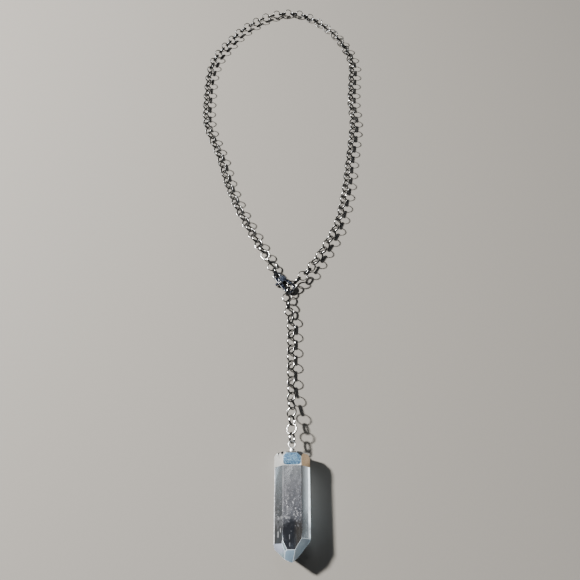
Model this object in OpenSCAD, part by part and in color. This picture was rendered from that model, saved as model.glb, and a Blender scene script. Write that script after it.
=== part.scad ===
/* [Chain] */
// Outer diameter of a chain link
link_od = 5.26; // [5.2:0.02:5.3]
// Thickness of a link's strap, across the ring
link_thick = 0.48; // [0.3:0.02:0.5]
// Width of a link's strap, along the ring's axis
link_width = 1; // [0.8:0.05:1.1]
// Spacing of the links along the chain, before it is fitted to the run
link_pitch = 3.97; // [3.94:0.01:4.02]
// Lean of every other link to each side when the chain lies down
link_lean = 45; // [40:1:50]
// Slow wander of that lean along the chain
lean_wander = 5; // [0:1:6]

/* [Clasp] */
// Distance from the clasp's eye to the middle of its hook
clasp_reach = 9.4; // [9:0.1:10]
// Direction that the clasp points in on the surface
clasp_turn = -48; // [-50:1:-46]
// Thickness of the clasp's body at the lever
clasp_thick = 2.8; // [2.7:0.1:2.8]
// Thickness of the hook and of the eye
hook_thick = 1.3; // [1.2:0.1:1.3]
// Width of the hook's bar, seen from above
hook_bar = 1.3; // [1.2:0.1:1.3]
// Radius of the hook at the middle of its bar
hook_r = 2.45; // [2.4:0.05:2.6]
// Width of the clasp's body where the eye is
eye_od = 4; // [3.9:0.1:4.2]
// Hole of the eye
eye_hole = 2.3; // [2.2:0.1:2.4]
// Diameter of the lever's pin
pin_d = 0.8; // [0.6:0.1:0.9]
// Running clearance round the pin
pin_gap = 0.05; // [0.03:0.01:0.08]

/* [Pendant] */
// Crystal across its corners
crystal_w = 15.5; // [15:0.1:15.6]
// Crystal from the cap's rim to the far end of its point
crystal_l = 37.4; // [34:0.1:40]
// Cap across its corners
cap_w = 15.7; // [15.7:0.1:16]
// Length of the cap
cap_l = 6; // [5:0.1:7]
// Wall of the cap
cap_wall = 0.35; // [0.3:0.05:0.5]
// Bevel round the closed end of the cap
cap_bevel = 0.7; // [0.4:0.1:1]
// Outer diameter of the bail ring
bail_od = 3.7; // [3.5:0.1:3.8]
// Wire of the bail ring
bail_wire = 0.75; // [0.5:0.05:0.8]

/* [Hidden] */
round_fn = 48;
wire_fn = 20;
far = 60;

// The middle of the box round the whole necklace, from the place where the clasp hooks the chain
middle = [-6.5, 44.2];

// Route of the neck chain: from the clasp's eye up the left, over the top and down to the hook,
// and one point more that only sets the direction at the hook
neck_route = [
    [-8.1, 9.8], [-12.1, 17.5], [-20.5, 33], [-29, 50], [-36, 67.5], [-42, 88], [-49.5, 107.5],
    [-52, 119], [-52.5, 137], [-52, 156], [-49, 170], [-42, 183], [-33, 196], [-21, 206.8],
    [-12.5, 211.2], [-4.5, 213.3], [3.5, 213], [11.5, 210], [19.5, 203.6], [28.5, 193.5],
    [35.5, 180], [39.5, 165], [38.5, 147], [37.5, 131], [38, 115], [36, 98], [33.5, 81],
    [31, 64], [26, 42], [18.5, 26], [9.5, 11.4], [3.5, 4.9], [0.5, 2], [-1.5, -1.2],
    [-2, -5.1]
];
// Route of the drop: from the hook straight down to the bail
drop_route = [
    [-1.5, -1.2], [-2, -5], [-1, -12], [0, -20], [0, -40], [0.2, -60], [0.4, -76.9]
];

link_r = link_od / 2;
link_corner = 0.14;
floor_gap = 0.02;
// Height of the middle of a link that leans this far, when it rests on the surface
function rest_height(lean) = floor_gap + max(
    link_r * sin(lean) + (link_width / 2 - link_corner) * cos(lean),
    (link_r - link_corner) * sin(lean) + link_width / 2 * cos(lean));

// A smooth step from 0 to 1
function ease(t) = let (u = min(1, max(0, t))) u * u * (3 - 2 * u);

// A smooth curve through a list of points
function ends(p, i) = p[min(len(p) - 1, max(0, i))];
function curve_at(p, i, t) = let (a = ends(p, i - 1), b = p[i], c = ends(p, i + 1), d = ends(p, i + 2))
    b + t / 2 * (c - a + t * (2 * a - 5 * b + 4 * c - d + t * (3 * (b - c) + d - a)));
curve_steps = 12;
function curve(p) = [
    for (i = [0:len(p) - 2], j = [0:curve_steps - 1]) curve_at(p, i, j / curve_steps),
    p[len(p) - 1]
];
// The distance along a line at each of its points
function run_of(line) = [
    for (i = 0, s = 0; i < len(line);
         s = s + (i < len(line) - 1 ? norm(line[i + 1] - line[i]) : 0), i = i + 1) s
];
// The point at a distance along a line
function along(line, run, s) = [for (k = [0:2]) lookup(s, [for (i = [0:len(line) - 1]) [run[i], line[i][k]]])];
function last(list) = list[len(list) - 1];

// Near an end that holds the clasp or the hook, the chain twists until its end link stands upright
// and the links on both sides of the hook's link sit deeper in it
twist_span = 24;
eye_twist = 45;
hook_twist = 45;
bail_twist = -20;
hook_slack = 0.25;
wander_span = 95;
function twist(from_start, from_end, start_twist, end_twist) =
    start_twist * ease(1 - from_start / twist_span) + end_twist * ease(1 - from_end / twist_span)
    + lean_wander * sin(360 * from_start / wander_span)
      * ease(from_start / twist_span) * ease(from_end / twist_span);
function neck_twist(s, left) = twist(s, left, eye_twist, hook_twist);
function drop_twist(s, left) = twist(s, left, hook_twist, bail_twist);

// The hook and the crystal lie at these heights, and the chain rises over the hook's bar and to the bail
clasp_z = clasp_thick / 2 + 0.02;
cap_flat = cap_w / 2 * cos(30);
crystal_flat = crystal_w / 2 * cos(30);
pendant_z = cap_flat;
over_bar = 0.9;
bar_at = 6;
bar_clear = 28;
bar_fall = 16;
bail_rise = 25;
bail_level = 2.5;

neck_flat = curve(neck_route);
neck_flat_run = run_of(neck_flat);
hook_knot = (len(neck_route) - 2) * curve_steps;
neck_flat_len = neck_flat_run[hook_knot];
neck_links = 2 * round(neck_flat_len / link_pitch / 2);
function neck_height(s) = let (left = neck_flat_len - s)
    rest_height(link_lean + abs(neck_twist(s, left)))
    + over_bar * ease(left / bar_at) * ease((bar_clear - left) / bar_fall);
neck_line = [for (i = [0:len(neck_flat) - 1]) [each neck_flat[i], neck_height(neck_flat_run[i])]];
neck_run = run_of(neck_line);
neck_len = neck_run[hook_knot];

drop_flat = curve(drop_route);
drop_flat_run = run_of(drop_flat);
drop_links = 2 * round((last(drop_flat_run) / link_pitch - 1) / 2) + 1;
function drop_height(s) = let (left = last(drop_flat_run) - s,
                               low = rest_height(link_lean + abs(drop_twist(s, left))))
    low + (pendant_z - low) * ease(1 - (left - bail_level) / bail_rise);
drop_line = [for (i = [0:len(drop_flat) - 1]) [each drop_flat[i], drop_height(drop_flat_run[i])]];
drop_run = run_of(drop_line);

// One link: a strap bent into a ring, with its corners taken off
module link() {
    inner = link_r - link_thick;
    half = link_width / 2;
    c = link_corner;
    rotate_extrude($fn = round_fn) polygon([
        [inner + c, -half], [link_r - c, -half], [link_r, c - half], [link_r, half - c],
        [link_r - c, half], [inner + c, half], [inner, half - c], [inner, c - half]
    ]);
}

// A link at a place on a line, square to the line's direction there and leaning about it
module link_on(line, run, s, lean) {
    reach = 2;
    before = along(line, run, max(0, s - reach));
    after = along(line, run, min(last(run), s + reach));
    way = after - before;
    translate(along(line, run, s))
        rotate([0, -atan2(way[2], norm([way[0], way[1]])), atan2(way[1], way[0])])
            rotate([lean, 0, 0]) link();
}

// The neck chain ends in the link that the hook holds
module neck_chain() {
    step = (neck_len + hook_slack) / neck_links;
    color("dimgray") place() for (k = [0:neck_links]) {
        s = min(neck_len, k * step);
        side = k % 2 == 0 ? 1 : -1;
        link_on(neck_line, neck_run, s, side * link_lean + neck_twist(s, neck_len - s));
    }
}

// The drop starts with the next link and ends in the one that holds the bail
module drop_chain() {
    step = (last(drop_run) + hook_slack) / drop_links;
    color("dimgray") place() for (k = [1:drop_links]) {
        s = k * step - hook_slack;
        side = k % 2 == 0 ? 1 : -1;
        link_on(drop_line, drop_run, s, side * link_lean + drop_twist(s, last(drop_run) - s));
    }
}

// The clasp in its own frame: the eye at the origin, the hook along +x, the lever on the -y side
hook_mid = [clasp_reach, 0];
hook_in = hook_r - hook_bar / 2;
hook_out = hook_r + hook_bar / 2;
lever_at = [4.2, -1.35];
lever_len = 4.6;
lever_gap = 0.12;
lever_thick = 1.2;
lever_top = 0.5;
slot_r = lever_len + lever_gap;
fan_low = -145;
fan_high = 28;
root_fan_high = 50;
head_at = [3.6, 0.7];
head_r = 2.1;
cheek_r = 1.2;
root_r = 0.95;
throat_at = [5.7, 0.15];
throat_r = 0.85;
thumb_way = [cos(-108), sin(-108)];
thumb_reach = 2.5;
thumb_r = 0.55;
thumb_root_r = 0.5;

// The shape round two circles of different size
function rim(a, ra, b, rb, at_a, way) = let (
    d = b - a, angle = atan2(d[1], d[0]) + way * acos((ra - rb) / norm(d)))
    (at_a ? a : b) + (at_a ? ra : rb) * [cos(angle), sin(angle)];
module round_both(a, ra, b, rb) {
    translate(a) circle(r = ra, $fn = round_fn);
    translate(b) circle(r = rb, $fn = round_fn);
    polygon([rim(a, ra, b, rb, true, -1), rim(a, ra, b, rb, false, -1),
             rim(a, ra, b, rb, false, 1), rim(a, ra, b, rb, true, 1)]);
}
module clasp_outline() round_both([0, 0], eye_od / 2, hook_mid, hook_out);
module clasp_opening() {
    round_both(throat_at, throat_r, hook_mid, hook_in);
    circle(d = eye_hole, $fn = round_fn);
}
// The fan that a part of the lever sweeps between the body's two cheeks
module lever_fan(r, low, high) intersection() {
    circle(r = r, $fn = round_fn);
    polygon([[0, 0], far * [cos(low), sin(low)], [0, -far], [far, -far], far * [cos(high), sin(high)]]);
}
module at_clasp() place() translate([clasp_from[0], clasp_from[1], clasp_z]) rotate(clasp_turn) children();
// Where the hook holds the end link of the neck chain, as an angle round the hook
hold_at = -54;
function turned(v, a) = [v[0] * cos(a) - v[1] * sin(a), v[0] * sin(a) + v[1] * cos(a)];
clasp_from = drop_route[0] - turned(hook_mid + hook_r * [cos(hold_at), sin(hold_at)], clasp_turn);

module clasp_body() color("darkslategray") at_clasp() difference() {
    union() {
        linear_extrude(hook_thick, center = true) clasp_outline();
        linear_extrude(clasp_thick, center = true) intersection() {
            clasp_outline();
            union() {
                translate(head_at) circle(r = head_r, $fn = round_fn);
                translate(lever_at) circle(r = cheek_r, $fn = round_fn);
            }
        }
    }
    linear_extrude(far, center = true) clasp_opening();
    linear_extrude(lever_thick + 2 * lever_gap, center = true) translate(lever_at) {
        lever_fan(slot_r, fan_low, fan_high);
        lever_fan(slot_r / 2, fan_low, root_fan_high);
        circle(r = root_r + lever_gap, $fn = round_fn);
    }
    translate([each lever_at, -far / 2]) cylinder(d = pin_d + 2 * pin_gap, h = far, $fn = round_fn);
}

module clasp_lever() color("darkslategray") at_clasp() difference() {
    linear_extrude(lever_thick, center = true) {
        translate(lever_at) circle(r = root_r, $fn = round_fn);
        difference() {
            intersection() {
                clasp_outline();
                translate(lever_at) circle(r = lever_len, $fn = round_fn);
                translate(lever_at) polygon([[0, lever_top], [0, -far], [far, -far], [far, lever_top]]);
            }
            clasp_opening();
        }
        round_both(lever_at, thumb_root_r, lever_at + thumb_reach * thumb_way, thumb_r);
    }
    translate([each lever_at, -far / 2]) cylinder(d = pin_d + 2 * pin_gap, h = far, $fn = round_fn);
}

module clasp_pin() color("dimgray") at_clasp()
    translate(lever_at) cylinder(d = pin_d, h = clasp_thick, center = true, $fn = round_fn);

// The pendant in its own frame: +z from the cap's rim to the point, +y up when it lies down
rim_at = [0.4, -89.8];
module at_pendant() place() translate([each rim_at, pendant_z]) rotate([90, 0, 0]) children();

// Everything outside a flat face that leans in by slope from start on, at an angle round the axis
module lean_cut(angle, flat_r, start, slope) rotate(angle) translate([flat_r, 0, start])
    rotate([0, -atan(slope), 0]) translate([0, -far / 2, -far / 2]) cube(far);

module hexagon_bar(w, low, high) translate([0, 0, low]) cylinder(d = w, h = high - low, $fn = 6);

// The faces of the point: angle round the axis, how far before the end each starts and how fast
// it leans in
point_faces = [
    [90, 4.6, 0.79], [30, 8.9, 0.56], [150, 6.9, 0.36], [120, 3.8, 0.24],
    [-30, 7.7, 0.92], [210, 4.9, 1.6], [-90, 12.4, 0.79]
];
spare = 4;
sunk = 0.1;
neck_gap = 0.05;
end_wall = 2.4;
cap_inner_w = cap_w - 2 * cap_wall / cos(30);

module crystal() color("aliceblue", 0.7) at_pendant() {
    difference() {
        hexagon_bar(crystal_w, 0, crystal_l + spare);
        for (face = point_faces) lean_cut(face[0], crystal_flat, crystal_l - face[1], face[2]);
    }
    hexagon_bar(cap_inner_w - 2 * neck_gap / cos(30), end_wall + neck_gap - cap_l, sunk);
}

bail_mid = -10;
// The corners taken off at the closed end: angle round the axis, how far before the end each cut
// starts and how fast it leans in
corner_cuts = [[60, 2.3, 0.6], [120, 2.1, 0.5], [0, 2.1, 0.5], [180, 1.6, 0.6]];
// Two short open folds at the closed end of the cap, on its upper left side
fold_gaps = [[-0.385, 0.2], [-0.28, 0.37]];
fold_size = [1, 1.6, 2.6];
stem_d = 1.2;
foot_d = 2.8;
foot_h = 1.9;
module pendant_cap() color("silver") at_pendant() {
    difference() {
        hexagon_bar(cap_w, -cap_l, 0);
        hexagon_bar(cap_inner_w, end_wall - cap_l, 1);
        mirror([0, 0, 1]) {
            for (a = [30:60:330]) lean_cut(a, cap_flat, cap_l - cap_bevel, 1);
            for (cut = corner_cuts) lean_cut(cut[0], cap_w / 2, cap_l - cut[1], cut[2]);
        }
        for (at = fold_gaps) translate([each at * cap_w, -cap_l]) rotate(60) cube(fold_size, center = true);
    }
    translate([0, 0, -cap_l - foot_h]) cylinder(d = foot_d, h = foot_h + sunk, $fn = round_fn);
    translate([0, 0, bail_mid + bail_od / 2 - bail_wire / 2]) cylinder(d = stem_d, h = -cap_l - bail_mid
        - bail_od / 2 + bail_wire / 2, $fn = round_fn);
    translate([0, 0, bail_mid]) rotate([90, 0, 0]) rotate_extrude($fn = round_fn)
        translate([(bail_od - bail_wire) / 2, 0]) circle(d = bail_wire, $fn = wire_fn);
}
module place() translate([-middle[0], -middle[1], 0]) children();

neck_chain();
drop_chain();
clasp_body();
clasp_lever();
clasp_pin();
pendant_cap();
crystal();
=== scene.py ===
"""Looks of a lariat necklace: its links, clasp, cap and crystal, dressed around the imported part."""

import logging
import math
from collections.abc import Iterator, Mapping
from dataclasses import dataclass
from enum import Enum
from functools import reduce
from typing import Any

import bmesh
import bpy
import numpy as np
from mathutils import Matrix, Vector


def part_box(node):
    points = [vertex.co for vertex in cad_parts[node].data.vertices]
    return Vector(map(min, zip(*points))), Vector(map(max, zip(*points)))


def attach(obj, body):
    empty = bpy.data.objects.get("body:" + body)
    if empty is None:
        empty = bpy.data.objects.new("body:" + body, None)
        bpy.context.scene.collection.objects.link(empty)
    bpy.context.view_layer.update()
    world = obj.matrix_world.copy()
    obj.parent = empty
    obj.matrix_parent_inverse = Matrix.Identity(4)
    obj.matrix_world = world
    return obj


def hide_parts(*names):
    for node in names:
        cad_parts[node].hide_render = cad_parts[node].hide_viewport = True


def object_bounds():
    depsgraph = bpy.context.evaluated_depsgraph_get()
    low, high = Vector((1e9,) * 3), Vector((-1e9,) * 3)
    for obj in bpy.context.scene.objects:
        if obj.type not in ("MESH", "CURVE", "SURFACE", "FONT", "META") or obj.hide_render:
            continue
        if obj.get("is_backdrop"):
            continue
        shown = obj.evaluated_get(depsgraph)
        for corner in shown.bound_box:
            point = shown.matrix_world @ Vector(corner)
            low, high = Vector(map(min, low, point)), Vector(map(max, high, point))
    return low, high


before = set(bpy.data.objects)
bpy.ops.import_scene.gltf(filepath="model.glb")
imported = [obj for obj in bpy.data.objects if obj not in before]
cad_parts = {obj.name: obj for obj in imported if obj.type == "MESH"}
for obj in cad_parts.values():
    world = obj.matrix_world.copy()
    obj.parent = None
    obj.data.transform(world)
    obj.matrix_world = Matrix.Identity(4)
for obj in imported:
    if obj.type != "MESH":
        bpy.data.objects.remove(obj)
SIZE_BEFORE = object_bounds()
LOG = logging.getLogger("necklace")
MM = 0.001
SEAM_MM = 0.0008
EDGE_MARK = "edge"
Colour = tuple[float, float, float]
Point = tuple[float, float, float]
Span = tuple[float, float]


class Slot(Enum):
    """The record's material slots."""

    CHAIN = "chain_metal"
    CLASP = "clasp_metal"
    CAP = "cap_metal"
    CRYSTAL = "crystal"


class Normals(Enum):
    """The ways of telling how a surface faces: flat face by flat face, or as it is shaded."""

    FLAT = "True Normal"
    SMOOTH = "Normal"


class Value:
    """A number inside a shader, for use in ordinary arithmetic."""

    def __init__(self, graph: "Graph", socket: Any) -> None:
        """Wraps an output socket of a graph's node."""
        self.graph = graph
        self.socket = socket

    def math(self, operation: str, *others: Any, first: bool = True) -> "Value":
        """Joins this value with others in a maths node.

        Args:
            operation: The maths node's operation.
            *others: Numbers or values for the other inputs.
            first: Whether this value is the first input, or the second.

        Returns:
            The result.
        """
        order = (self, *others) if first else (*others, self)
        made = self.graph.node("ShaderNodeMath", {"operation": operation}, dict(enumerate(order)))
        return Value(self.graph, made.outputs[0])

    def __add__(self, other: Any) -> "Value":
        """This value plus another."""
        return self.math("ADD", other)

    __radd__ = __add__

    def __sub__(self, other: Any) -> "Value":
        """This value less another."""
        return self.math("SUBTRACT", other)

    def __rsub__(self, other: Any) -> "Value":
        """Another value less this one."""
        return self.math("SUBTRACT", other, first=False)

    def __mul__(self, other: Any) -> "Value":
        """This value times another."""
        return self.math("MULTIPLY", other)

    __rmul__ = __mul__

    def __truediv__(self, other: Any) -> "Value":
        """This value over another."""
        return self.math("DIVIDE", other)

    def __rtruediv__(self, other: Any) -> "Value":
        """Another value over this one."""
        return self.math("DIVIDE", other, first=False)

    def __pow__(self, other: Any) -> "Value":
        """This value to a power."""
        return self.math("POWER", other)

    def __abs__(self) -> "Value":
        """This value without its sign."""
        return self.math("ABSOLUTE")

    def low(self, other: Any) -> "Value":
        """The lesser of this value and another."""
        return self.math("MINIMUM", other)

    def high(self, *others: Any) -> "Value":
        """The greatest of this value and others."""
        return reduce(lambda most, other: most.math("MAXIMUM", other), others, self)

    def ramp(self, start: float, end: float) -> "Value":
        """Rises smoothly from 0 where this value is start to 1 where it is end.

        Args:
            start: Where the rise starts.
            end: Where it ends, which may be below the start.

        Returns:
            The step, from 0 to 1.
        """
        made = self.graph.node(
            "ShaderNodeMapRange",
            {"interpolation_type": "SMOOTHSTEP"},
            {"Value": self, "From Min": start, "From Max": end, "To Min": 0.0, "To Max": 1.0},
        )
        return Value(self.graph, made.outputs[0])

    def between(self, none: float, full: float) -> "Value":
        """Goes from one number where this value is 0 to another where it is 1."""
        return none + (full - none) * self


class Graph:
    """The node tree of a material, built by calls."""

    def __init__(self, name: str) -> None:
        """Starts an empty material.

        Args:
            name: The material's name.
        """
        self.material = bpy.data.materials.new(name)
        self.material.use_nodes = True
        self.tree = self.material.node_tree
        self.tree.nodes.clear()

    def node(self, kind: str, settings: Mapping[str, Any], inputs: Mapping[Any, Any]) -> Any:
        """Adds a node.

        Args:
            kind: The node's type.
            settings: Its properties.
            inputs: Its inputs by name or number: a Value, a socket or a constant.

        Returns:
            The node.
        """
        made = self.tree.nodes.new(kind)
        for key, value in settings.items():
            setattr(made, key, value)
        for key, value in inputs.items():
            if isinstance(value, Value):
                self.tree.links.new(value.socket, made.inputs[key])
            elif isinstance(value, bpy.types.NodeSocket):
                self.tree.links.new(value, made.inputs[key])
            else:
                made.inputs[key].default_value = value
        return made

    def place(self, scale: Point = (1.0, 1.0, 1.0), turn: float = 0.0) -> Any:
        """The point being shaded, in millimetres, stretched and turned.

        Args:
            scale: How far it is stretched along each axis.
            turn: The turn about Z, in degrees.

        Returns:
            The point's socket.
        """
        where = self.node("ShaderNodeTexCoord", {}, {}).outputs["Object"]
        turned = self.node(
            "ShaderNodeMapping",
            {"vector_type": "POINT"},
            {
                "Vector": where,
                "Rotation": (0.0, 0.0, math.radians(turn)),
                "Scale": tuple(s / MM for s in scale),
            },
        )
        return turned.outputs[0]

    def axes(self, point: Any) -> tuple[Value, Value, Value]:
        """The three parts of a point."""
        split = self.node("ShaderNodeSeparateXYZ", {}, {0: point})
        return tuple(Value(self, out) for out in split.outputs)

    def facing(self, way: Point, normals: Normals = Normals.FLAT) -> Value:
        """How closely the surface faces a way.

        Args:
            way: The way, one long.
            normals: How the surface's own way is read.

        Returns:
            1 where it faces straight that way, 0 where it lies along it.
        """
        normal = self.node("ShaderNodeNewGeometry", {}, {}).outputs[normals.value]
        made = self.node("ShaderNodeVectorMath", {"operation": "DOT_PRODUCT"}, {0: normal, 1: way})
        return Value(self, made.outputs["Value"])

    def edge(self) -> Value:
        """1 on the rounded edges of a faceted piece, 0 on its faces."""
        settings = {"attribute_type": "GEOMETRY", "attribute_name": EDGE_MARK}
        return Value(self, self.node("ShaderNodeAttribute", settings, {}).outputs["Fac"])

    def ridges(self) -> Value:
        """About 0.5 on a flat or hollow surface and more on its ridges."""
        return Value(self, self.node("ShaderNodeNewGeometry", {}, {}).outputs["Pointiness"])

    def mix(self, amount: Any, first: Any, second: Any) -> Any:
        """Blends two colours.

        Args:
            amount: 0 for the first, 1 for the second.
            first: A colour or a colour socket.
            second: The same.

        Returns:
            The blended colour's socket.
        """
        full = [(*c, 1.0) if isinstance(c, tuple) else c for c in (first, second)]
        made = self.node("ShaderNodeMix", {"data_type": "RGBA"}, {0: amount, 6: full[0], 7: full[1]})
        return made.outputs[2]

    def bump(self, height: Value, size: float) -> Any:
        """The normal of a surface that a relief, size millimetres deep, makes uneven."""
        inputs = {"Height": height, "Distance": size * MM, "Strength": 1.0}
        return self.node("ShaderNodeBump", {}, inputs).outputs[0]

    def surface(self, inputs: Mapping[str, Any]) -> Any:
        """A principled surface's shader socket, from its inputs by name."""
        full = {k: (*v, 1.0) if isinstance(v, tuple) and len(v) == 3 else v for k, v in inputs.items()}
        return self.node("ShaderNodeBsdfPrincipled", {}, full).outputs[0]

    def close(self, shader: Any) -> Any:
        """Ends the tree in its output and gives back the material."""
        self.node("ShaderNodeOutputMaterial", {}, {"Surface": shader})
        return self.material


@dataclass(frozen=True)
class Pattern:
    """A cloudy pattern.

    Attributes:
        scale: How often it repeats in a millimetre, along each axis.
        detail: How many finer layers it has.
        rough: How strong they are.
        turn: Its turn about Z, in degrees.
    """

    scale: Point
    detail: float = 5.0
    rough: float = 0.55
    turn: float = 0.0

    def here(self, g: Graph) -> Value:
        """The pattern at the point being shaded, from about 0 to 1."""
        where = {"Vector": g.place(self.scale, self.turn), "Scale": 1.0}
        layers = {"Detail": self.detail, "Roughness": self.rough}
        return Value(g, g.node("ShaderNodeTexNoise", {}, where | layers).outputs[0])


@dataclass(frozen=True)
class Facet:
    """A flat face, known by the way that it looks.

    Attributes:
        way: That way.
        reach: How closely the surface looks that way where the face starts and is full.
    """

    way: Point
    reach: Span = (0.965, 0.985)

    def here(self, g: Graph) -> Value:
        """1 where the point being shaded is on the face, 0 where it isn't."""
        return g.facing(self.way).ramp(*self.reach)


@dataclass(frozen=True)
class MetalFinish:
    """A polished metal with tarnish, fine marks, worn-bright ridges and, where glint_way is set, a
    painted glint.

    Attributes:
        name: The material's name.
        light: The colour where it is clean, and dark where it is tarnished.
        gloss: Roughness where it is polished, and dull where it is worn.
        grain: Size of the wear's pattern, in millimetres.
        dents: Depth of the unevenness, in millimetres.
        tarnish: How much of the surface is dark, and soft how soft the borders are.
        worn: Colour of the worn ridges and the painted glint, and wear_and_glint how strongly both show.
        ridge: The pointiness at which the worn ridges start and are full.
        glint_way: The way that a surface faces where a glint of the key lamp is painted on it, or
            nothing.
        glint_reach: How closely the surface faces that way where the painted glint starts and is full.
        marks: How much the fine marks darken it, with their span in mark_span.
        rough_span: The span of the roughness that they add.
        lay: Direction of the fine marks, in degrees from Y.
        reach: How long the fine marks are, as a share of the grain.
        finer: How much finer than the grain the marks and the specks are.
        dulling: How much tarnish and fine marks each dull it.
        relief: How much the grain, the marks and the specks each raise it.
    """

    name: str
    light: Colour
    dark: Colour
    gloss: float
    dull: float
    grain: float
    dents: float
    tarnish: float
    soft: float = 0.12
    worn: Colour = (0.75, 0.76, 0.76)
    wear_and_glint: float = 0.0
    ridge: Span = (0.53, 0.6)
    glint_way: Point | None = None
    glint_reach: Span = (0.955, 0.985)
    marks: float = 0.25
    mark_span: Span = (0.4, 0.6)
    rough_span: Span = (0.4, 0.75)
    lay: float = 30.0
    reach: float = 0.7
    finer: tuple[float, float] = (5.0, 7.0)
    dulling: tuple[float, float] = (0.6, 0.4)
    relief: tuple[float, float, float] = (0.7, 0.2, 0.1)

    def tint(self, g: Graph, colour: Any) -> Any:
        """Brightens the worn ridges of a coloured surface and paints a glint where it faces the given
        way.

        Args:
            g: The material's graph.
            colour: The colour before that.

        Returns:
            The colour's socket.
        """
        rubbed_and_glint = g.ridges().ramp(*self.ridge)
        # painted glint: brighter metal where the surface faces the way that mirrors the key lamp into
        # the camera
        if self.glint_way:
            rubbed_and_glint = rubbed_and_glint.high(g.facing(self.glint_way, Normals.SMOOTH).ramp(*self.glint_reach))
        return g.mix(self.wear_and_glint * rubbed_and_glint, colour, self.worn)

    def bare(self, g: Graph) -> Any:
        """How much of the surface is bare metal: all of it."""
        return 1.0

    def make(self) -> Any:
        """Builds the material.

        Returns:
            The material.
        """
        g = Graph(self.name)
        near = 1.0 / self.grain
        thin, small = (finer * near for finer in self.finer)
        broad = Pattern((near, near, near), detail=4.0).here(g)
        fine = Pattern((thin, near / self.reach, thin), detail=2.0, turn=self.lay).here(g)
        specks = Pattern((small, small, small), detail=1.0).here(g)
        tone = broad.ramp(self.tarnish - self.soft, self.tarnish + self.soft)
        clean = tone * fine.ramp(*self.mark_span).between(1 - self.marks, 1)
        by_tarnish, by_marks = self.dulling
        worn = by_tarnish * (1 - tone) + by_marks * fine.ramp(*self.rough_span)
        by_grain, by_mark, by_speck = self.relief
        shader = g.surface({
            "Base Color": self.tint(g, g.mix(clean, self.dark, self.light)),
            "Metallic": self.bare(g),
            "Roughness": worn.between(self.gloss, self.dull),
            "Normal": g.bump(by_grain * broad + by_mark * fine + by_speck * specks, self.dents),
        })
        return g.close(shader)


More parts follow.
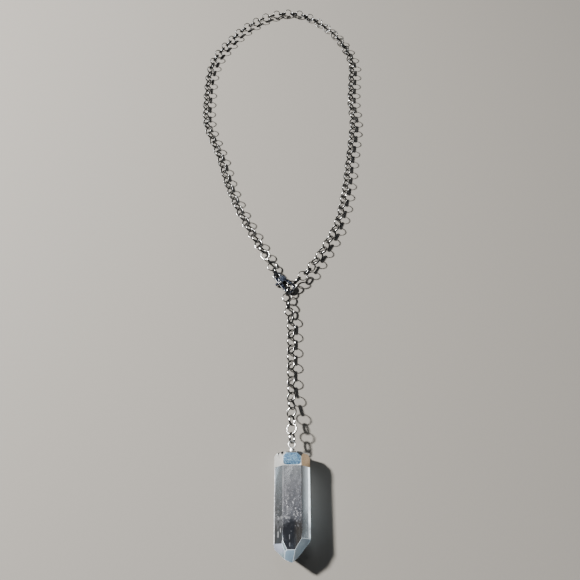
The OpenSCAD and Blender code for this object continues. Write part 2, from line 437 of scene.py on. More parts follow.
@dataclass(frozen=True)
class CapFinish(MetalFinish):
    """Silver with painted reflections, blue on the upper face and tan on the right, painted highlights
    on its edges and painted shade in the folds at its end.

    Places are in millimetres. A span says where something starts and is full.

    Attributes:
        end: Where the cap's closed end is, along Y. Beyond it are the foot and the ring.
        blend: How far from there the faces' tints fade.
        upper: The upper face. east and west are the right and the left one.
        shaded_seams: The cut corner between the upper and the right face, and the bevel beside it, where
            shade is painted.
        glazed: How much of the metal is glazed over on the upper face and on the left face.
        mottle: The pattern that mottles the faces.
        above: Colour of the painted blue reflection on the upper face, with reflection_light the lighter
            colour that mottles it.
        middle: Middle of the upper face, X and Y, with half its width and depth in half.
        square: 2 for a round face, more for a squarer one.
        highlight_border: Span of the upper face's painted highlight band, from 0 in the middle to 1.
        right: Colour of the painted tan reflection on the right face, with warm_reflection_dark the
            darker colour that mottles it.
        rim: Colour of the painted highlight on the edges and on the upper face's band, with its strength
            on the edges in edge_highlight.
        seam_shade: Colour of the painted shade on the cut corner and the bevel beside it.
        crease_shade: Colour of the painted shade in the folds and round the foot, with its strength
            there in foot_shade.
        foot_side: Span of that from the foot's middle, and foot_back from the closed end.
        folds: Where the two folds are, X and Y.
        fold_reach: Span of the painted shade, from a fold's middle.
        fold_long: How much the distance along Y, squared, counts in that.
    """

    end: float = -128.0
    blend: float = 0.1
    upper: Facet = Facet((0.0, 0.0, 1.0), (0.93, 0.98))
    east: Facet = Facet((0.87, 0.0, 0.5), (0.93, 0.98))
    west: Facet = Facet((-0.87, 0.0, 0.5), (0.93, 0.98))
    shaded_seams: tuple[Facet, Facet] = (
        Facet((0.43, 0.51, 0.745), (0.95, 0.98)),
        Facet((0.5, 0.0, 0.87), (0.98, 0.99)),
    )
    glazed: tuple[float, float] = (0.65, 0.12)
    mottle: Pattern = Pattern((1.8, 1.8, 1.8), rough=0.75)
    above: Colour = (0.03, 0.085, 0.17)
    reflection_light: Colour = (0.24, 0.42, 0.58)
    reflection_span: Span = (0.45, 0.62)
    middle: tuple[float, float] = (6.9, -131.2)
    half: tuple[float, float] = (4.3, 2.9)
    square: float = 5.0
    highlight_border: Span = (0.86, 0.93)
    right: Colour = (1.0, 0.8, 0.58)
    warm_reflection_dark: Colour = (0.84, 0.63, 0.42)
    right_span: Span = (0.42, 0.6)
    rim: Colour = (0.93, 0.97, 0.98)
    edge_highlight: float = 0.9
    seam_shade: Colour = (0.2, 0.22, 0.24)
    crease_shade: Colour = (0.012, 0.012, 0.016)
    foot_shade: float = 0.8
    foot_side: Span = (1.9, 1.6)
    foot_back: Span = (0.4, 0.25)
    folds: tuple[tuple[float, float], ...] = ()
    fold_reach: Span = (0.75, 0.4)
    fold_long: float = 0.6

    def hull(self, g: Graph) -> Value:
        """1 on the cap's own body, 0 on its foot and ring."""
        _, y, _ = g.axes(g.place())
        return y.ramp(self.end + self.blend, self.end - self.blend)

    def bare(self, g: Graph) -> Any:
        """How much of the surface is bare metal: all but the glazed share of two faces."""
        glazed = self.glazed[0] * self.upper.here(g) + self.glazed[1] * self.west.here(g)
        return 1 - glazed * self.hull(g)

    def upper_tint(self, g: Graph, mottle: Value) -> Any:
        """The upper face's colour: a mottled, painted blue reflection inside a painted highlight along
        its edge.

        Args:
            g: The material's graph.
            mottle: The mottling.

        Returns:
            The colour's socket.
        """
        x, y, _ = g.axes(g.place())
        wide = (abs(x - self.middle[0]) / self.half[0]) ** self.square
        deep = (abs(y - self.middle[1]) / self.half[1]) ** self.square
        # painted highlight along the upper face's edge
        highlight_border = ((wide + deep) ** (1 / self.square)).ramp(*self.highlight_border)
        # painted blue reflection on the upper face, mottled
        blue = g.mix(mottle.ramp(*self.reflection_span), self.above, self.reflection_light)
        return g.mix(highlight_border, blue, self.rim)

    def paint_crease_shade(self, g: Graph, colour: Any) -> Any:
        """Paints shade in the corner round the foot and in the folds.

        Args:
            g: The material's graph.
            colour: The colour before that.

        Returns:
            The colour's socket.
        """
        x, y, _ = g.axes(g.place())
        start, full = (self.end - back for back in self.foot_back)
        foot = abs(x - self.middle[0]).ramp(*self.foot_side) * y.ramp(start, full) * self.hull(g)
        # painted shade in the corner round the foot, then in each fold
        made = g.mix(self.foot_shade * foot, colour, self.crease_shade)
        for at_x, at_y in self.folds:
            away = ((x - at_x) ** 2 + self.fold_long * (y - at_y) ** 2) ** 0.5
            made = g.mix(away.ramp(*self.fold_reach), made, self.crease_shade)
        return made

    def tint(self, g: Graph, colour: Any) -> Any:
        """Paints the reflections on the faces, the shade on the cut corner and the bevel beside it, the
        highlights on the other edges and the shade in the folds and round the foot.

        Args:
            g: The material's graph.
            colour: The silver's own colour.

        Returns:
            The colour's socket.
        """
        hull = self.hull(g)
        mottle = self.mottle.here(g)
        # painted shade on the cut corner and the bevel beside it
        seam_shade = self.shaded_seams[0].here(g).high(self.shaded_seams[1].here(g))
        # painted tan reflection on the right face, mottled
        warm_reflection = g.mix(mottle.ramp(*self.right_span), self.warm_reflection_dark, self.right)
        made = g.mix(self.upper.here(g) * hull, colour, self.upper_tint(g, mottle))
        made = g.mix(self.east.here(g) * hull, made, warm_reflection)
        made = g.mix(seam_shade, made, self.seam_shade)
        # painted highlight on the rounded edges
        made = g.mix(self.edge_highlight * g.edge() * (1 - seam_shade), made, self.rim)
        return self.paint_crease_shade(g, made)


@dataclass(frozen=True)
class CrystalShape:
    """Where the crystal is, in millimetres.

    Attributes:
        rim: Where the cap's rim is, along Y, and length from there to the point.
        axis: The crystal's axis: X and Z.
        half: Half the crystal's width.
    """

    rim: float
    length: float
    axis: tuple[float, float]
    half: float


@dataclass(frozen=True)
class CrystalTints:
    """The crystal's colours, each with the span where it starts and is full.

    Attributes:
        near_cap: The upper face beside the cap.
        middle: The same a quarter of the way along, and far half way along.
        left_top: The left face beside the cap, and left_low half way along.
        blue: The right face towards the point, and the painted reflection on the point's right facet.
        smoke: The clear, dark end.
        brown: The same towards the right.
        deep: The same on the left face.
        tip: The painted reflection on the upper facet of the point.
        side: The same on its left facet.
        corner: The same on the facet between them, and on the far end of the left one.
        haze: Faint milky places, with its strength in hazed.
        white: Strong milky places, and the painted glow and highlights.
        glow: Light that comes through.
    """

    near_cap: Colour = (0.4, 0.43, 0.46)
    middle: Colour = (0.25, 0.26, 0.29)
    middle_along: Span = (0.0, 0.28)
    far: Colour = (0.17, 0.185, 0.215)
    far_along: Span = (0.25, 0.55)
    left_top: Colour = (0.19, 0.24, 0.28)
    left_low: Colour = (0.035, 0.05, 0.065)
    left_along: Span = (0.0, 0.5)
    blue: Colour = (0.2, 0.33, 0.45)
    blue_along: Span = (0.1, 0.5)
    smoke: Colour = (0.05, 0.055, 0.068)
    brown: Colour = (0.12, 0.115, 0.11)
    brown_across: Span = (0.05, 0.3)
    deep: Colour = (0.004, 0.006, 0.009)
    tip: Colour = (0.36, 0.52, 0.69)
    side: Colour = (0.25, 0.28, 0.36)
    corner: Colour = (0.17, 0.235, 0.27)
    corner_along: Span = (0.88, 0.93)
    haze: Colour = (0.3, 0.3, 0.33)
    hazed: float = 0.5
    white: Colour = (0.88, 0.9, 0.94)
    white_milk: Span = (0.2, 0.9)
    glow: Colour = (0.8, 0.9, 0.95)


@dataclass(frozen=True)
class Zone:
    """A part of the crystal with soft borders: each span says where it starts and is full.

    Attributes:
        inside: How strong it is inside, and outside how strong elsewhere.
        along: Its span along the crystal, from 0 at the cap to 1 at the point.
        across: The same across it, from -1 on the left to 1 on the right.
        height: The same from -1 below to 1 above.
        wisps: Its span in that pattern, as are flecks and streaks.
    """

    inside: float = 1.0
    outside: float = 0.0
    along: Span | None = None
    across: Span | None = None
    height: Span | None = None
    wisps: Span | None = None
    flecks: Span | None = None
    streaks: Span | None = None

    def at(self, s: "Spot") -> Value:
        """How strong the zone is at a spot.

        Args:
            s: The spot.

        Returns:
            Its strength.
        """
        readings = (s.along, s.across, s.height, s.wisps, s.flecks, s.streaks)
        spans = (self.along, self.across, self.height, self.wisps, self.flecks, self.streaks)
        first, *others = (reading.ramp(*span) for reading, span in zip(readings, spans) if span)
        return math.prod(others, start=first).between(self.outside, self.inside)


@dataclass(frozen=True)
class Needle:
    """A thin white needle in the crystal.

    Attributes:
        across: Where it is, from -1 on the left to 1 on the right.
        start: Where it starts, from 0 at the cap to 1 at the point, and end where it ends.
        half: Half its width, and core how much of that is full.
        fade: How far along it fades in and out.
    """

    across: float
    start: float
    end: float
    half: float = 0.03
    core: float = 0.3
    fade: float = 0.01

    def at(self, s: "Spot") -> Value:
        """How strong the needle is at a spot, from 0 to 1."""
        inside = abs(s.across - self.across).ramp(self.half, self.core * self.half)
        ends = ((self.start - self.fade, self.start), (self.end, self.end - self.fade))
        return inside * s.along.ramp(*ends[0]) * s.along.ramp(*ends[1])


@dataclass(frozen=True)
class CrystalZones:
    """The crystal's patterns, facets and zones. Zones that stand together are multiplied.

    A level is a pair: outside and inside something, or where a pattern is 0 and where it is 1.

    Attributes:
        patterns: Long fine streaks, wide soft wisps and small flecks.
        facets: The point's upper facet, its left one, the one between them and its right one.
        slope_part: How much the right one counts as the point.
        upper: The upper half.
        left: The left face, and right the right one.
        clear: Where the clear, dark end starts and is full, along the crystal. clear_wave is how
            far the wisps move that, clear_bow how much later it starts away from clear_middle,
            across, and clear_level its level by the right face.
        keen: Painted highlights on the edges at the point.
        rim: The painted glow of the rim on the right.
        sheen: The painted light that spreads from it, with how much it whitens the colour in
            sheen_whitening.
        body_milk: The body's milkiness by the wisps, with its level by the clear end and by the
            left face in body_level.
        right_milk: The right face's milkiness by the flecks.
        veil: A veil before the clear end. veil_start is where it starts and is full along the
            crystal, and veil_torn how far the flecks move that.
        shelf: A shelf near the point.
        point_milk: The point's milkiness by the wisps.
        specks: White specks, with their milkiness in speck_milk, how much less it is in the
            clear end in speck_dark, and its level by the left face in speck_level.
        lines: Fine lines, with their milkiness by the clear end in line_level.
        needle_milk: The needles' milkiness.
        long_across: How far from the middle the upper face's two long edges are. long_reach is
            how near them their light starts and is full, and long_glint where and how strong.
        long_edge: The light on their rounding.
        outline: A painted highlight along the left outline.
    """

    patterns: tuple[Pattern, Pattern, Pattern] = (
        Pattern((2.2, 0.14, 2.2), rough=0.6),
        Pattern((0.5, 0.3, 0.5), rough=0.6),
        Pattern((1.6, 1.1, 1.6), rough=0.72),
    )
    facets: tuple[Facet, Facet, Facet, Facet] = (
        Facet((0.0, -0.62, 0.785), (0.96, 0.985)),
        Facet((-0.815, -0.339, 0.47)),
        Facet((-0.486, -0.233, 0.842)),
        Facet((0.756, -0.489, 0.436)),
    )
    slope_part: float = 0.7
    upper: Zone = Zone(height=(-0.1, 0.1))
    left: Zone = Zone(across=(-0.5, -0.56))
    right: Zone = Zone(across=(0.48, 0.56))
    clear: Span = (0.52, 0.62)
    clear_wave: float = 0.22
    clear_bow: float = 0.07
    clear_middle: float = -0.1
    clear_level: Span = (1.0, 0.3)
    keen: Zone = Zone(along=(0.7, 0.78))
    rim: tuple[Zone, ...] = (
        Zone(along=(0.79, 0.74), across=(0.82, 0.92)),
        Zone(1.0, 0.7, wisps=(0.35, 0.5)),
        Zone(0.65, 1.0, along=(0.55, 0.66)),
    )
    sheen: tuple[Zone, ...] = (Zone(across=(0.46, 0.86)), Zone(0.4, 1.0, along=(0.42, 0.6)))
    body_milk: Span = (-0.285, 0.615)
    body_level: Span = (1.0, 0.2)
    right_milk: Span = (0.154, 0.594)
    veil: Zone = Zone(0.45, along=(0.6, 0.56), across=(0.0, -0.15), wisps=(0.44, 0.54))
    veil_start: Span = (0.53, 0.55)
    veil_torn: float = 0.06
    shelf: Zone = Zone(0.22, along=(0.8, 0.86), wisps=(0.35, 0.55))
    sheen_whitening: float = 0.5
    point_milk: Span = (0.45, 0.85)
    specks: Zone = Zone(flecks=(0.52, 0.63))
    speck_milk: Zone = Zone(0.7, 0.4, along=(0.2, 0.5))
    speck_dark: float = 0.4
    speck_level: Span = (1.0, 0.6)
    lines: Zone = Zone(streaks=(0.58, 0.7))
    line_level: Span = (0.3, 0.2)
    needle_milk: float = 0.5
    long_across: float = 0.49
    long_reach: Span = (0.04, 0.01)
    long_glint: tuple[Zone, ...] = (Zone(along=(0.85, 0.3)), Zone(0.5, 0.15, streaks=(0.4, 0.6)))
    long_edge: Zone = Zone(0.3, along=(0.8, 0.3))
    outline: tuple[Zone, ...] = (Zone(across=(-0.92, -0.96)), Zone(0.9, 0.5, flecks=(0.4, 0.6)))


class Spot:
    """The point being shaded in the crystal: its place, its patterns and how far zones hold it."""

    def __init__(self, g: Graph, shape: CrystalShape, zones: CrystalZones) -> None:
        """Works out the point.

        Args:
            g: The material's graph.
            shape: Where the crystal is.
            zones: Its zones.
        """
        x, y, z = g.axes(g.place())
        self.along = (shape.rim - y) / shape.length
        self.across = (x - shape.axis[0]) / shape.half
        self.height = (z - shape.axis[1]) / shape.half
        self.streaks, self.wisps, self.flecks = (pattern.here(g) for pattern in zones.patterns)
        self.tip, self.side, self.corner, self.slope = (facet.here(g) for facet in zones.facets)
        self.point = self.tip.high(self.side, self.corner, zones.slope_part * self.slope)
        self.upper, self.left, self.right = map(self.amount, (zones.upper, zones.left, zones.right))
        wave = zones.clear_wave * (self.wisps - 0.5)
        bow = zones.clear_bow * abs(self.across - zones.clear_middle)
        clear = (self.along + wave - bow).ramp(*zones.clear)
        self.dark = clear * self.right.between(*zones.clear_level)
        self.edge = g.edge()
        # painted highlights on the point's edges, painted glow on the right rim and the painted light
        # that spreads from it
        self.keen = self.edge * self.amount(zones.keen)
        self.rim = self.amount(*zones.rim)
        self.sheen = self.amount(*zones.sheen) * (1 - self.point)

    def amount(self, *zones: Zone) -> Value:
        """How strong some zones are here, multiplied."""
        first, *others = (zone.at(self) for zone in zones)
        return math.prod(others, start=first)


@dataclass(frozen=True)
class CrystalFinish:
    """Natural quartz: clear in places, cloudy and streaked in others, with a painted glow, painted
    highlights on its edges and painted reflections on its point's facets.

    Attributes:
        name: The material's name.
        shape: Where the crystal is.
        tints: Its colours, zones its zones and needles its needles.
        index: How strongly it bends light.
        through: How much light passes through it, clear and milky.
        clear_rough: Roughness where it is clear, from not milky to fully milky.
        milky_rough: Roughness where it is milky, by the flecks.
        relief: Depth of its unevenness in millimetres, clear and milky.
        flecked: How much the flecks count in the clear one.
        solid: How solid the milkiness and the left face's clear end are.
        lights: Share of the light on the right face, the sheen, the right facet and the keen edges.
        power: Strength of the light.
    """

    name: str
    shape: CrystalShape
    tints: CrystalTints = CrystalTints()
    zones: CrystalZones = CrystalZones()
    needles: tuple[Needle, ...] = (
        Needle(-0.75, 0.695, 0.76, 0.035), Needle(-0.625, 0.665, 0.71), Needle(-0.14, 0.73, 0.78),
        Needle(-0.13, 0.81, 0.85), Needle(-0.47, 0.768, 0.784), Needle(-0.06, 0.692, 0.704),
        Needle(0.16, 0.638, 0.65), Needle(-0.776, 0.537, 0.549, 0.035),
        Needle(0.65, 0.584, 0.596, 0.035),
    )
    index: float = 1.54
    through: tuple[float, float] = (0.8, 0.15)
    clear_rough: Span = (0.05, 0.25)
    milky_rough: Span = (0.3, 0.5)
    relief: tuple[float, float] = (0.05, 0.06)
    flecked: float = 0.4
    solid: tuple[float, float] = (0.85, 0.8)
    lights: tuple[float, float, float, float] = (0.05, 0.5, 0.07, 0.6)
    power: float = 2.8

    def milk_and_light(self, s: Spot) -> Value:
        """How milky the crystal is, with the painted glow and highlights that whiten it.

        Args:
            s: The point being shaded.

        Returns:
            The most of its soft places, small marks, painted highlights on its edges and painted glow on
            its rim, from 0 to 1.
        """
        z = self.zones
        level = s.dark.between(*z.body_level) * s.left.between(*z.body_level)
        body = s.wisps.between(*z.body_milk) * level
        right = s.right * s.flecks.between(*z.right_milk)
        veil = (s.along + z.veil_torn * (s.flecks - 0.5)).ramp(*z.veil_start) * s.amount(z.veil)
        shelf = s.amount(z.shelf) * s.upper * (1 - s.left)
        point = s.point * s.wisps.between(*z.point_milk)
        bright = s.amount(z.speck_milk) - z.speck_dark * s.dark
        specks = s.amount(z.specks) * bright * s.left.between(*z.speck_level)
        lines = s.amount(z.lines) * s.dark.between(*z.line_level)
        needles = [z.needle_milk * s.upper * needle.at(s) for needle in self.needles]
        beside = abs(abs(s.across) - z.long_across).ramp(*z.long_reach)
        glint = beside * s.upper * s.amount(*z.long_glint)
        rounding = s.edge * s.upper * s.amount(z.long_edge)
        # painted light counted with the milkiness: the sheen here, and on the next line the rim, the
        # long edges' glints and rounding, the outline and the keen edges
        soft = body.high(right, veil, shelf, z.sheen_whitening * s.sheen, point)
        sharp = specks.high(lines, *needles, glint, rounding, s.rim, s.amount(*z.outline), s.keen)
        return soft.high(sharp).low(1.0).high(0.0)

    def tint(self, g: Graph, s: Spot) -> Any:
        """The colour of the clear crystal, with painted reflections on the point's facets.

        Args:
            g: The material's graph.
            s: The point being shaded.

        Returns:
            The colour's socket.
        """
        t = self.tints
        body = g.mix(s.along.ramp(*t.middle_along), t.near_cap, t.middle)
        body = g.mix(s.along.ramp(*t.far_along), body, t.far)
        body = g.mix(s.left, body, g.mix(s.along.ramp(*t.left_along), t.left_top, t.left_low))
        body = g.mix(s.right * s.along.ramp(*t.blue_along), body, t.blue)
        smoke = g.mix(s.across.ramp(*t.brown_across), t.smoke, t.brown)
        made = g.mix(s.dark, body, g.mix(s.left, smoke, t.deep))
        # painted reflections on the point's facets
        made = g.mix(s.tip, made, t.tip)
        made = g.mix(s.side, made, g.mix(s.along.ramp(*t.corner_along), t.side, t.corner))
        made = g.mix(s.corner, made, t.corner)
        return g.mix(s.slope, made, t.blue)

    def milky_tint(self, g: Graph, s: Spot, tint: Any, milk_and_light: Value) -> Any:
        """The colour of the milky crystal and of its painted glow and highlights.

        Args:
            g: The material's graph.
            s: The point being shaded.
            tint: The clear crystal's colour.
            milk_and_light: How milky it is, with the painted glow and highlights.

        Returns:
            The colour's socket.
        """
        t = self.tints
        hazy = g.mix(t.hazed * (1 - s.dark), tint, t.haze)
        made = g.mix(milk_and_light.ramp(*t.white_milk), hazy, t.white)
        return g.mix(s.point * (1 - s.keen), made, tint)

    def light(self, g: Graph, s: Spot) -> Any:
        """The colour of the light that comes through."""
        shares = [share * zone for share, zone in zip(self.lights, (s.right, s.sheen, s.slope, s.keen))]
        return g.mix(s.rim.high(*shares), (0.0, 0.0, 0.0), self.tints.glow)

    def make(self) -> Any:
        """Builds the material.

        Returns:
            The material.
        """
        g = Graph(self.name)
        s = Spot(g, self.shape, self.zones)
        milk_and_light = self.milk_and_light(s)
        tint = self.tint(g, s)
        clear = g.surface({
            "Base Color": tint,
            "Roughness": milk_and_light.between(*self.clear_rough),
            "IOR": self.index,
            "Transmission Weight": self.through[0],
            "Normal": g.bump(s.streaks + self.flecked * s.flecks, self.relief[0]),
        })
        milky = g.surface({
            "Base Color": self.milky_tint(g, s, tint, milk_and_light),
            "Roughness": s.flecks.between(*self.milky_rough),
            "Emission Color": self.light(g, s),
            "Emission Strength": self.power,
            "IOR": self.index,
            "Transmission Weight": self.through[1],
            "Normal": g.bump(s.streaks + s.flecks, self.relief[1]),
        })
        solid = (self.solid[0] * milk_and_light).high(self.solid[1] * s.dark * s.left)
        mixed = g.node("ShaderNodeMixShader", {}, {0: solid, 1: clear, 2: milky})
        return g.close(mixed.outputs[0])


@dataclass(frozen=True)
class FloorFinish:
    """A plain pale floor with a faint grain.

    Attributes:
        name: The material's name.
        colour: Its colour.
        grain: The grain, relief its depth in millimetres and shade how light its dark places are.
        rough: Roughness.
        gloss: How strongly it reflects.
    """

    name: str = "pale_floor"
    colour: Colour = (0.24, 0.23, 0.212)
    shade: float = 0.96
    grain: Pattern = Pattern((0.8, 0.8, 0.8), detail=4.0)
    relief: float = 0.03
    rough: float = 0.8
    gloss: float = 0.2

    def make(self) -> Any:
        """Builds the material.

        Returns:
            The material.
        """
        g = Graph(self.name)
        grain = self.grain.here(g)
        darker = tuple(self.shade * c for c in self.colour)
        return g.close(g.surface({
            "Base Color": g.mix(grain, darker, self.colour),
            "Roughness": self.rough,
            "Specular IOR Level": self.gloss,
            "Normal": g.bump(grain, self.relief),
        }))


def node_mesh(node: str) -> bmesh.types.BMesh:
    """A copy of a CAD node's mesh with its seams joined.

    Args:
        node: The node's name.

    Returns:
        The mesh, to be freed by the caller.
    """
    made = bmesh.new()
    made.from_mesh(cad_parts[node].data)
    bmesh.ops.remove_doubles(made, verts=made.verts, dist=SEAM_MM * MM)
    return made


def islands(mesh: bmesh.types.BMesh) -> Iterator[np.ndarray]:
    """Splits a mesh into its separate solids.

    Args:
        mesh: The mesh.

    Yields:
        The points of each solid.
    """
    seen: set[int] = set()
    for start in mesh.verts:
        if start.index in seen:
            continue
        seen.add(start.index)
        found, waiting = [], [start]
        while waiting:
            vert = waiting.pop()
            found.append(vert.co[:])
            for link in vert.link_edges:
                other = link.other_vert(vert)
                if other.index not in seen:
                    seen.add(other.index)
                    waiting.append(other)
        yield np.array(found)


def add_object(name: str, data: Any) -> Any:
    """Puts an object in the scene.

    Args:
        name: The object's name.
        data: Its mesh, lamp or camera.

    Returns:
        The object.
    """
    made = bpy.data.objects.new(name, data)
    bpy.context.scene.collection.objects.link(made)
    return made


def settle(obj: Any, node: str, body: str, slot: Slot, material: Any) -> None:
    """Lets a piece stand for a CAD node, and reports it.

    Args:
        obj: The piece.
        node: The node that it replaces.
        body: The body that it rides on.
        slot: The record's slot of its finish; not used.
        material: Its material.
    """
    obj.data.materials.clear()
    obj.data.materials.append(material)
    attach(obj, body)
    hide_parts(node)
    LOG.info("%s: %d faces", obj.name, len(obj.data.polygons))


@dataclass(frozen=True)
class Ring:
    """Where a link is: its middle, in metres, and the direction of its axis."""

    middle: np.ndarray
    axis: np.ndarray


@dataclass
class LinkChain:
    """A chain of round links bent from domed strap, laid where the CAD links are.

    Attributes:
        node: The CAD node.
        outer: Outer radius of a link, in millimetres.
        thick: Thickness of the strap, and width its width.
        outside_flat: 2 for a round outer side of the strap, more for a flatter one.
        inside_flat: The same inside.
        sides: Steps round a link, and points round the strap.
    """

    node: str
    outer: float = 2.61
    thick: float = 0.48
    width: float = 1.0
    outside_flat: float = 2.4
    inside_flat: float = 2.2
    sides: int = 40
    points: int = 18

    def rings(self) -> list[Ring]:
        """Finds each link's place from the CAD mesh.

        Returns:
            The places.
        """
        mesh = node_mesh(self.node)
        found = []
        for points in islands(mesh):
            middle = (points.min(0) + points.max(0)) / 2
            spread = np.linalg.svd(points - points.mean(0), full_matrices=False)[2]
            found.append(Ring(middle, spread[2]))
        mesh.free()
        return found

    def profile(self) -> list[tuple[float, float]]:
        """The strap's outline: distance from the link's axis and height along it.

        Returns:
            The outline's points.
        """
        half = self.thick / 2
        outline = []
        for angle in np.linspace(0, 2 * math.pi, self.points, endpoint=False):
            across, along = math.cos(angle), math.sin(angle)
            power = 2 / (self.outside_flat if across >= 0 else self.inside_flat)
            outline.append((
                self.outer - half + half * math.copysign(abs(across) ** power, across),
                self.width / 2 * math.copysign(abs(along) ** power, along),
            ))
        return outline

    def build(self) -> Any:
        """Builds all the links as one piece.

        Returns:
            The piece.
        """
        outline = self.profile()
        count = len(outline)
        turns = np.linspace(0, 2 * math.pi, self.sides, endpoint=False)
        local = MM * np.array([(r * math.cos(t), r * math.sin(t), h) for t in turns for r, h in outline])
        around = [(i, (i + 1) % self.sides) for i in range(self.sides)]
        across = [(j, (j + 1) % count) for j in range(count)]
        quads = [
            (i * count + j, k * count + j, k * count + m, i * count + m)
            for i, k in around
            for j, m in across
        ]
        points: list[np.ndarray] = []
        faces: list[tuple[int, ...]] = []
        for ring in self.rings():
            turn = np.array(Vector(ring.axis).to_track_quat("Z", "Y").to_matrix())
            base = len(points) * len(local)
            points.append(local @ turn.T + ring.middle)
            faces.extend(tuple(base + k for k in quad) for quad in quads)
        mesh = bpy.data.meshes.new(self.node + "_links")
        mesh.from_pydata(np.concatenate(points).tolist(), [], faces)
        mesh.shade_smooth()
        return add_object(self.node + "_links", mesh)

    def dress(self, body: str, material: Any) -> None:
        """Builds the links on a body and gives them their metal."""
        settle(self.build(), self.node, body, Slot.CHAIN, material)


@dataclass
class CastPiece:
    """A small cast piece with rounded edges, made from a CAD node.

    Attributes:
        node: The CAD node.
        grid: Size of the surface's cells, in millimetres.
        rounds: How often the surface is smoothed, and smoothing how strongly.
    """

    node: str
    grid: float = 0.08
    rounds: int = 6
    smoothing: float = 0.5

    def build(self) -> Any:
        """Rounds the node's edges.

        Returns:
            The piece.
        """
        mesh = bpy.data.meshes.new(self.node + "_cast")
        source = node_mesh(self.node)
        source.to_mesh(mesh)
        source.free()
        made = add_object(self.node + "_cast", mesh)
        remesh = made.modifiers.new("grid", "REMESH")
        remesh.mode = "VOXEL"
        remesh.voxel_size = self.grid * MM
        smooth = made.modifiers.new("round", "SMOOTH")
        smooth.iterations = self.rounds
        smooth.factor = self.smoothing
        graph = bpy.context.evaluated_depsgraph_get()
        rounded = bpy.data.meshes.new_from_object(made.evaluated_get(graph))
        made.modifiers.clear()
        made.data = rounded
        made.data.shade_smooth()
        return made

    def dress(self, body: str, material: Any) -> None:
        """Builds the piece on a body and gives it its metal."""
        settle(self.build(), self.node, body, Slot.CLASP, material)


@dataclass
class FacetedPiece:
    """A piece with flat faces whose edges are a little rounded, made from a CAD node.

    Attributes:
        node: The CAD node.
        slot: The record's slot of its finish.
        edge: Width of the rounded edges, in millimetres.
        steps: Steps across each, and bulge how far out it bulges, from 0 to 1.
        level: Angle below which two faces are one, in degrees.
        thin: Area over outline below which a face's edges aren't rounded, in millimetres.
        sharp: Angle from which an edge is rounded, in degrees.
        flat_from: Area from which a face is shaded flat, in square millimetres.
        crease: Angle from which an edge is sharp in the shading, in degrees.
    """

    node: str
    slot: Slot
    edge: float
    steps: int = 3
    bulge: float = 0.5
    level: float = 1.0
    thin: float = 0.3
    sharp: float = 20.0
    flat_from: float = 1.5
    crease: float = 40.0

    def edges(self, made: bmesh.types.BMesh) -> list[bmesh.types.BMEdge]:
        """The outward edges between two broad faces of a mesh, which are to be rounded."""
        broad = {f.index for f in made.faces if f.calc_area() > self.thin * MM * f.calc_perimeter()}
        return [
            e for e in made.edges
            if len(e.link_faces) == 2
            and all(f.index in broad for f in e.link_faces)
            and e.calc_face_angle_signed(0.0) > math.radians(self.sharp)
        ]

    def build(self) -> Any:
        """Rounds the edges between the flat faces and marks them for the material.

        Returns:
            The piece.
        """
        made = node_mesh(self.node)
        level = math.radians(self.level)
        bmesh.ops.dissolve_limit(made, angle_limit=level, verts=made.verts, edges=made.edges)
        made.faces.index_update()
        marks = made.faces.layers.float.new(EDGE_MARK)
        rounded = bmesh.ops.bevel(
            made, geom=self.edges(made), offset=self.edge * MM, offset_type="OFFSET",
            segments=self.steps, profile=self.bulge, affect="EDGES", clamp_overlap=True,
        )
        for face in rounded["faces"]:
            face[marks] = 1.0
        for face in made.faces:
            face.smooth = face[marks] > 0.5 or face.calc_area() < self.flat_from * MM ** 2
        mesh = bpy.data.meshes.new(self.node + "_faces")
        made.to_mesh(mesh)
        made.free()
        mesh.set_sharp_from_angle(angle=math.radians(self.crease))
        return add_object(self.node + "_faces", mesh)

    def dress(self, body: str, material: Any) -> None:
        """Builds the piece on a body and gives it its finish."""
        settle(self.build(), self.node, body, self.slot, material)


@dataclass(frozen=True)
class SoftBox:
    """A square lamp.

    Attributes:
        name: Its name.
        place: Where it is, in metres.
        size: Its side, and power its power in watts.
        colour: Its colour.
        aim: What it points at.
    """

    name: str
    place: Point
    size: float
    power: float
    colour: Colour
    aim: Point = (0.0, 0.0, 0.0)

    def build(self) -> None:
        """Puts the lamp in the scene."""
        lamp = bpy.data.lights.new(self.name, "AREA")
        lamp.shape = "SQUARE"
        lamp.size = self.size
        lamp.energy = self.power
        lamp.color = self.colour
        made = add_object(self.name, lamp)
        made.location = self.place
        way = Vector(self.aim) - Vector(self.place)
        made.rotation_euler = way.to_track_quat("-Z", "Y").to_euler()


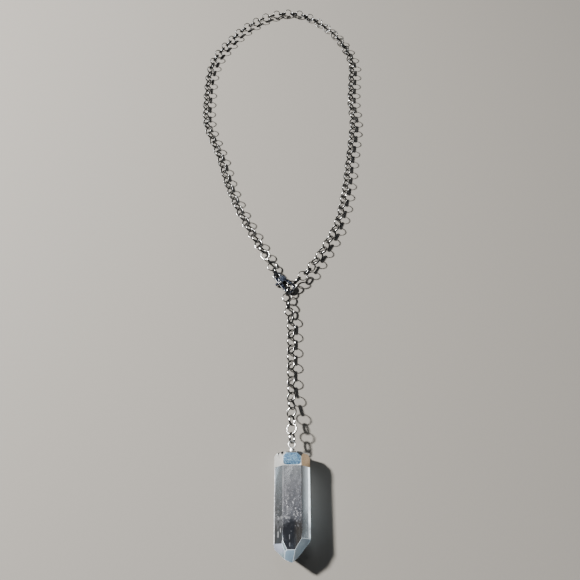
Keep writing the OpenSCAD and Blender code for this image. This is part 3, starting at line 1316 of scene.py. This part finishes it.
@dataclass(frozen=True)
class Studio:
    """The floor, the lamps, the surroundings and the camera.

    Attributes:
        lamps: A key lamp on the left, a weak fill on the right and a weak one above.
        eye: Where the camera is, in metres.
        tilt: Its tilt from straight down, in degrees.
        lens: Its focal length, and sensor the width of its sensor, in millimetres.
        clip: The least distance that it sees, in metres.
        floor: The floor's finish.
        floor_size: Its side, and floor_drop how far down it is, in metres.
        sky: Colour of the light from all round, and ambient its strength.
    """

    lamps: tuple[SoftBox, ...] = (
        SoftBox("key", (-0.75, 0.17, 0.74), 0.08, 44.0, (1.0, 0.97, 0.93)),
        SoftBox("fill", (0.8, -0.5, 0.7), 0.4, 0.8, (0.9, 0.95, 1.0)),
        SoftBox("top", (0.0, 0.6, 1.0), 0.3, 1.2, (0.95, 0.98, 1.0)),
    )
    eye: Point = (0.006, -0.1747, 0.26)
    tilt: float = 26.8
    lens: float = 34.63
    sensor: float = 36.0
    clip: float = 0.01
    floor: FloorFinish = FloorFinish()
    floor_size: float = 6.0
    floor_drop: float = 0.0002
    sky: Colour = (0.85, 0.9, 1.0)
    ambient: float = 0.045

    def build_floor(self) -> None:
        """Lays the floor."""
        bpy.ops.mesh.primitive_plane_add(size=self.floor_size, location=(0, 0, -self.floor_drop))
        floor = bpy.context.active_object
        floor.name = "floor"
        floor.data.materials.append(self.floor.make())
        floor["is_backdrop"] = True

    def build_sky(self) -> None:
        """Sets the light from all round."""
        world = bpy.data.worlds.new("surroundings")
        world.use_nodes = True
        sky = world.node_tree.nodes["Background"]
        sky.inputs["Color"].default_value = (*self.sky, 1.0)
        sky.inputs["Strength"].default_value = self.ambient
        bpy.context.scene.world = world

    def build_camera(self) -> None:
        """Puts the camera where the photograph was taken from."""
        camera = bpy.data.cameras.new("camera")
        camera.lens = self.lens
        camera.sensor_width = self.sensor
        camera.clip_start = self.clip
        made = add_object("camera", camera)
        made.location = self.eye
        made.rotation_euler = (math.radians(self.tilt), 0.0, 0.0)
        bpy.context.scene.camera = made

    def build(self) -> None:
        """Builds the studio and reports it."""
        self.build_floor()
        for lamp in self.lamps:
            lamp.build()
        self.build_sky()
        self.build_camera()
        LOG.info("studio: %d lamps, camera %.1f mm", len(self.lamps), self.lens)


@dataclass
class Necklace:
    """The whole necklace.

    Attributes:
        main: The body that carries everything but the lever.
        lever: The lever's body.
        steel: The links' metal, gunmetal the clasp's and silver the cap's.
        cap_edge: Width of the cap's rounded edges, and crystal_edge of the crystal's, in millimetres.
    """

    main: str = "necklace"
    lever: str = "lever"
    steel: MetalFinish = MetalFinish(
        "dark_steel", light=(0.14, 0.145, 0.15), dark=(0.03, 0.032, 0.034), gloss=0.22, dull=0.3,
        grain=0.9, dents=0.012, tarnish=0.47, worn=(0.95, 0.95, 0.94), wear_and_glint=1.0, ridge=(0.57, 0.65),
        # painted glint of the key lamp on the links' faces that mirror it into the camera
        glint_way=(-0.39, 0.0, 0.92),
    )
    gunmetal: MetalFinish = MetalFinish(
        "gunmetal", light=(0.065, 0.075, 0.105), dark=(0.006, 0.008, 0.013), gloss=0.2, dull=0.34,
        grain=2.0, dents=0.03, tarnish=0.48, wear_and_glint=0.9, ridge=(0.508, 0.545), marks=0.95, lay=60.0,
        reach=2.5,
    )
    silver: CapFinish = CapFinish(
        "silver", light=(0.88, 0.9, 0.9), dark=(0.7, 0.73, 0.74), gloss=0.4, dull=0.55,
        grain=2.2, dents=0.06, tarnish=0.4, folds=((1.1, -127.9), (2.6, -128.3)),
    )
    cap_edge: float = 0.3
    crystal_edge: float = 0.42

    def crystal_shape(self) -> CrystalShape:
        """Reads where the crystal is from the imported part.

        Returns:
            The crystal's place.
        """
        low, high = (np.array(corner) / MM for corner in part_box("crystal"))
        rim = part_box("pendant_cap")[0][1] / MM
        axis = ((low[0] + high[0]) / 2, (low[2] + high[2]) / 2)
        return CrystalShape(rim, rim - low[1], axis, (high[0] - low[0]) / 2)

    def build(self) -> None:
        """Builds and dresses every piece."""
        steel, gunmetal, silver = (metal.make() for metal in (self.steel, self.gunmetal, self.silver))
        for node in ("neck_chain", "drop_chain"):
            LinkChain(node).dress(self.main, steel)
        CastPiece("clasp_body").dress(self.main, gunmetal)
        CastPiece("clasp_lever", grid=0.06).dress(self.lever, gunmetal)
        CastPiece("clasp_pin", grid=0.05, rounds=2).dress(self.main, gunmetal)
        FacetedPiece("pendant_cap", Slot.CAP, self.cap_edge).dress(self.main, silver)
        quartz = CrystalFinish("quartz", self.crystal_shape()).make()
        FacetedPiece("crystal", Slot.CRYSTAL, self.crystal_edge).dress(self.main, quartz)


def main() -> None:
    """Builds the necklace and its studio."""
    logging.basicConfig(level=logging.INFO, format="%(name)s %(message)s")
    Necklace().build()
    Studio().build()
    [[list(c) for c in box] for box in (SIZE_BEFORE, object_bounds())]


if __name__ == "__main__":
    main()
